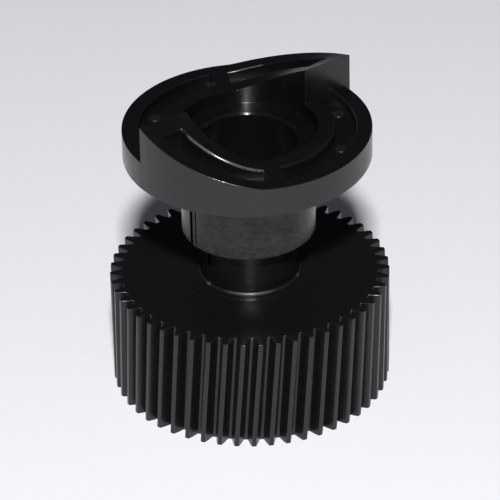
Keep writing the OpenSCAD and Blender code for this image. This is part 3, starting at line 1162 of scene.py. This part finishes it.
def coupling_round(edge):
    """The share of the collar's round that an edge of the coupling gets."""
    a, b = (v.co / MM for v in edge.verts)
    level = abs(a.z - b.z) < 0.9 * (a.xy - b.xy).length
    if any(abs(p.z - recess_floor - pad_height) < 0.01 for p in (a, b)):
        return PAD_ROUND / COLLAR_ROUND
    for radius, size in ((COLLAR, COLLAR_ROUND), (RIM_INSIDE, RIM_INSIDE_ROUND),
                         (RIM, RIM_ROUND)):
        if level and all(abs(p.xy.length - radius) < 0.02 and p.z > recess_floor + 0.5
                         for p in (a, b)):
            return size / COLLAR_ROUND
    return PLAIN_ROUND / COLLAR_ROUND


weigh_edges(coupling, coupling_round)
ease_edges(coupling, coupling_plastic, COLLAR_ROUND, by_weight=True)


# %% Marks of use and painted highlights on the coupling
def coupling_scuff_and_highlight(radius, direction, height):
    """Where the mating half has rubbed both collars, painted light grey as a highlight line, and
    where the rim gets a few painted glints.
    """
    past = (direction - step_direction) % 360
    if height < recess_floor + 1:
        return 0.0
    # Painted glints on the rim, and the collars' rubbed edges painted as a highlight line.
    if abs(radius - RIM_INSIDE) < 0.3 and 125 < past < 165:
        return 0.25
    return (abs(radius - COLLAR) < 0.4 and 16 < past % 180 < 69
            or abs(radius - RIM_INSIDE) < 0.3 and 229 < past < 248
            or abs(radius - RIM) < 0.2 and (40 < past < 44 or 47 < past < 54))


def coupling_handled(radius, direction, height):
    """Fingers touch the sleeve's outside, below the flange."""
    return height < flange_bottom + 0.1 and abs(radius - SLEEVE) < 0.12


def coupling_matt(radius, direction, height):
    """Where the surface is dull: on the ejector pads and the pocket floors beside the ramps."""
    point = Vector(on_circle(radius, direction))
    if any((point - Vector(on_circle(PAD_CIRCLE, pad))).length < PAD_RADIUS + 0.02
           and height > recess_floor + 0.05 for pad in pad_directions):
        return 0.7
    past = (direction - step_direction) % 180
    return (abs(height - recess_floor) < 0.25 and COLLAR - 0.1 < radius < RIM_INSIDE + 0.1
            and block_end - 0.5 < past < pocket_end + 0.5)


mark(coupling, "scuff_and_highlight", coupling_scuff_and_highlight)
mark(coupling, "handled", coupling_handled)
mark(coupling, "matt", coupling_matt)
smooth_faces(coupling)
put_on(coupling, "coupling", "coupling_plastic", "cam_coupling")

# %% [markdown]
# ## Drive keys
#
# Two flat strips lie in the sleeve's slots and reach into the neck's keyways, so the
# flange and neck turn together. They use the same cell function on a square grid,
# turned to each key's direction, so a strip and its wider foot are one closed skin.

# %% Drive keys
key_blade_half, key_side_gap, key_floor_gap, key_top_gap = 0.35, 0.02, 0.05, 0.15


def drive_key(name, node, direction):
    """A strip with a wider foot, in the slot at a direction."""
    low, high = span_mm(node)
    turn = Matrix.Rotation(math.radians(direction), 2)

    def spot(out, across):
        return turn @ Vector((out, across))

    def fill(zone, cell):
        blade = [(low.z, high.z)] if cell == 1 else []
        return [[(low.z, neck_high.z)], blade][zone]

    key = cell_solid(name, [KEYWAY_FLOOR + key_floor_gap, SLOT_FLOOR, SLEEVE - key_top_gap],
                     [-keyway_half + key_side_gap, -key_blade_half, key_blade_half,
                      keyway_half - key_side_gap], fill, closed=False, spot=spot)
    ease_edges(key, key_plastic, 0.06)
    smooth_faces(key)
    put_on(key, "coupling", "key_plastic", node)


drive_key("left_drive_key", "left_key", key_direction)
drive_key("right_drive_key", "right_key", key_direction + 180)

# %% [markdown]
# ## Rings, washer, cap and bushes
#
# What is left is round. A snap ring on the neck's end locks the sleeve, and a circlip
# holds the cap that closes the gear's hub. Both are open at the back, so that they
# can be squeezed in. A washer carries the spring, and two plain bushes run on the
# shaft. Each is a ring with a few radii and one pair of heights per zone, so one short
# function makes them all.

# %% Snap rings, washer, cap and bushes
def turned_ring(name, node, radii, heights, finish, body, slot, edge, gap=0.0):
    """A ring with one pair of heights per zone, whole or with a gap at the back."""
    if gap:
        lines = [beside(90, gap / 2), *fan(107, 433, 4.0), beside(450, -gap / 2)]
    else:
        lines = fan(0, 360, 4.0)[:-1]
    ring = cell_solid(name, radii, lines, lambda zone, cell: [heights[zone]], closed=not gap)
    ease_edges(ring, finish, edge)
    smooth_faces(ring)
    put_on(ring, body, slot, node)


def levels_of(node):
    """Lowest and highest level of a node, in mm."""
    low, high = span_mm(node)
    return low.z, high.z


bush_low, bush_high = levels_of("shaft_bush")
bush_flange = (2.95, 3.85)
cap_bore_top = 2.9
SHAFT, SLIDING_BORE = 4.0, 4.05
turned_ring("sleeve_snap_ring", "coupling_ring", [6.4, ring_high.x], [levels_of("coupling_ring")],
            clip_steel, "coupling", "spring_steel", 0.12, gap=3.0)
turned_ring("hub_circlip", "cap_circlip", [8.3, clip_high.x], [levels_of("cap_circlip")],
            clip_steel, "gear", "spring_steel", 0.12, gap=3.0)
turned_ring("spring_washer", "spring_seat", [4.9, 8.2], [levels_of("spring_seat")],
            washer_steel, "gear", "washer_steel", 0.1)
turned_ring("hub_cap", "bottom_cap", [5.05, 5.95, cap_high.x],
            [(cap_low.z, cap_bore_top), (cap_low.z, cap_high.z)],
            gear_acetal, "gear", "gear_acetal", 0.15)
turned_ring("neck_bush", "plunger_bush", [SLIDING_BORE, NECK_BORE], [levels_of("plunger_bush")],
            bush_bronze, "coupling", "bush_bronze", 0.2)
turned_ring("flanged_shaft_bush", "shaft_bush", [SHAFT, 4.65, 5.0, 5.7],
            [(bush_low, bush_high), (bush_low, bush_flange[1]), bush_flange],
            bush_bronze, "shaft_mount", "bush_bronze", 0.15)

# %% [markdown]
# ## The return spring
#
# A compression spring is one wire wound into a helix. Its end turns lie closed, almost
# touching, so that it stands square, and the turns between share what height is left.
# The path is a rule, so a tree of Geometry Nodes makes it: a row of points is lifted by
# three climbs, one for each closed end and one for the open turns, and turned about the
# axis. The points become a curve, and a circle is swept along it.

# %% Tree: a spring with closed ends
def spring_tree():
    """A helix with a closed turn at each end, swept with round wire."""
    tree, given, result = new_tree(
        "closed_end_spring", Turns="NodeSocketFloat", Points_per_turn="NodeSocketInt",
        Mean_radius="NodeSocketFloat", Wire_radius="NodeSocketFloat",
        Bottom="NodeSocketFloat", Top="NodeSocketFloat", Finish="NodeSocketMaterial")

    closed_pitch = 2.12
    count = add(tree, "ShaderNodeMath", {
        0: given["Turns"], 1: given["Points per turn"], 2: 1.0}, operation="MULTIPLY_ADD")
    points = add(tree, "GeometryNodeMeshLine", {"Count": count, "Offset": (0.0, 0.0, 0.001)})
    number = add(tree, "GeometryNodeInputIndex")
    turns_done = add(tree, "ShaderNodeMath", {0: number, 1: given["Points per turn"]},
                     operation="DIVIDE")
    last_turn = add(tree, "ShaderNodeMath", {0: given["Turns"], 1: 1.0}, operation="SUBTRACT")
    closed_rise = add(tree, "ShaderNodeMath", {0: given["Wire radius"], 1: closed_pitch},
                      operation="MULTIPLY")
    whole_height = add(tree, "ShaderNodeMath", {0: given["Top"], 1: given["Bottom"]},
                       operation="SUBTRACT")
    open_rise = add(tree, "ShaderNodeMath", {
        0: given["Wire radius"], 1: -2 * (1 + closed_pitch), 2: whole_height},
        operation="MULTIPLY_ADD")
    height = add(tree, "ShaderNodeMath", {0: given["Bottom"], 1: given["Wire radius"]},
                 operation="ADD")
    for start, end, rise in ((0.0, 1.0, closed_rise), (1.0, last_turn, open_rise),
                             (last_turn, given["Turns"], closed_rise)):
        climb = add(tree, "ShaderNodeMapRange", {
            "Value": turns_done, "From Min": start, "From Max": end, "To Max": rise})
        height = add(tree, "ShaderNodeMath", {0: height, 1: climb}, operation="ADD")
    angle = add(tree, "ShaderNodeMath", {0: turns_done, 1: math.tau}, operation="MULTIPLY")
    straight = add(tree, "ShaderNodeCombineXYZ", {"X": given["Mean radius"], "Z": height})
    spot = add(tree, "ShaderNodeVectorRotate", {"Vector": straight, "Angle": angle},
               rotation_type="Z_AXIS")
    path = add(tree, "GeometryNodeSetPosition", {"Geometry": points, "Position": spot})
    curve = add(tree, "GeometryNodeMeshToCurve", {"Mesh": path})
    wire = add(tree, "GeometryNodeCurvePrimitiveCircle", {
        "Resolution": 16, "Radius": given["Wire radius"]})
    swept = add(tree, "GeometryNodeCurveToMesh", {
        "Curve": curve, "Profile Curve": wire, "Fill Caps": True})
    real = add(tree, "GeometryNodeRealizeInstances", {"Geometry": swept})
    painted = add(tree, "GeometryNodeSetMaterial", {
        "Geometry": real, "Material": given["Finish"]})
    tree.links.new(painted.outputs[0], result)
    return tree


spring_bottom, spring_top = levels_of("return_spring")
spring = bpy.data.objects.new("closed_end_return_spring", bpy.data.meshes.new("spring"))
bpy.context.scene.collection.objects.link(spring)
grow(spring, spring_tree(), Turns=7.0, Points_per_turn=48, Mean_radius=5.35 * MM,
     Wire_radius=0.5 * MM, Bottom=spring_bottom * MM, Top=spring_top * MM, Finish=spring_steel)
turn_outwards(spring, mesh_shape(spring))
spring.data.polygons.foreach_set("use_smooth", [True] * len(spring.data.polygons))
spring.data.set_sharp_from_angle(angle=math.radians(50))
put_on(spring, "gear", "spring_steel", "return_spring")
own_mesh(spring)

# %% [markdown]
# ## Paper, light and camera
#
# The part stands on plain white paper in a dark room. The main light is a small bright
# one above the camera, so upright walls mirror the lit paper and look grey, while level
# faces mirror the dark room behind and look black. It also gives the narrow glints in
# the bore and at the foot of the neck. A large soft light overhead is faint and only
# fills the shadows. The camera stands half a metre away with a long lens.

# %% Paper floor
def paper_floor():
    """A sheet of white paper with a faint fibre grain."""
    bpy.ops.mesh.primitive_plane_add(size=3.0)
    floor = bpy.context.object
    floor.name = "paper_floor"
    paper, shader = new_finish("white_paper", Roughness=0.75)
    place = add(paper, "ShaderNodeTexCoord").outputs["Object"]
    fibres = add(paper, "ShaderNodeTexNoise", {
        "Vector": place, "Scale": per_metre(0.8), "Detail": 3.0})
    tone = add(paper, "ShaderNodeMix", {
        "Factor": fibres, 6: linear("#e9eaee"), 7: linear("#eeeff3")}, data_type="RGBA")
    shader_links(paper, shader, Base_Color=tone.outputs[2])
    floor.data.materials.append(paper)


paper_floor()


# %% Camera
def aim(thing, place, target, roll=0.0):
    """Puts a camera or light at a place and points it at a target, in mm."""
    back = (Vector(place) - Vector(target)).normalized()
    turned = back.to_track_quat("Z", "Y").to_matrix() @ Matrix.Rotation(math.radians(roll), 3, "Z")
    thing.matrix_world = Matrix.Translation(Vector(place) * MM) @ turned.to_4x4()


def around(target, azimuth, elevation, distance):
    """A place round a target: azimuth 0 is the camera's side, and 90 is its right."""
    a, e = math.radians(azimuth), math.radians(elevation)
    out = Vector((math.sin(a) * math.cos(e), -math.cos(a) * math.cos(e), math.sin(e)))
    return Vector(target) + out * distance


view_target = (0.1, 0.0, 21.4)
camera_data = bpy.data.cameras.new("camera")
camera_data.lens = 241.8
camera_data.sensor_width = 36
camera_data.clip_start = 0.01
camera = bpy.data.objects.new("camera", camera_data)
bpy.context.scene.collection.objects.link(camera)
aim(camera, around(view_target, azimuth=0, elevation=32.52, distance=509.2), view_target,
    roll=-1.12)
bpy.context.scene.camera = camera
print("camera", [round(c / MM) for c in camera.matrix_world.translation], "mm")


# %% Lights
def soft_light(name, azimuth, elevation, distance, width, height, watts, colour="#ffffff"):
    """A rectangular light that faces the part."""
    data = bpy.data.lights.new(name, "AREA")
    data.shape = "RECTANGLE"
    data.size, data.size_y = width * MM, height * MM
    data.energy = watts
    data.color = linear(colour)[:3]
    light = bpy.data.objects.new(name, data)
    bpy.context.scene.collection.objects.link(light)
    aim(light, around((0, 0, 20), azimuth, elevation, distance), (0, 0, 20))


soft_light("overhead_softbox", azimuth=0, elevation=84, distance=600, width=560, height=420,
           watts=0.12, colour="#fdfdff")
soft_light("light_above_camera", azimuth=0.2, elevation=47.4, distance=820, width=60, height=56,
           watts=9.2)

world = bpy.data.worlds.new("dark_room")
bpy.context.scene.world = world
world.use_nodes = True
world.node_tree.nodes["Background"].inputs["Color"].default_value = linear("#40424a")
world.node_tree.nodes["Background"].inputs["Strength"].default_value = 0.42
bpy.context.scene.view_settings.view_transform = "Standard"
print("a small main light above the camera and a faint softbox overhead")
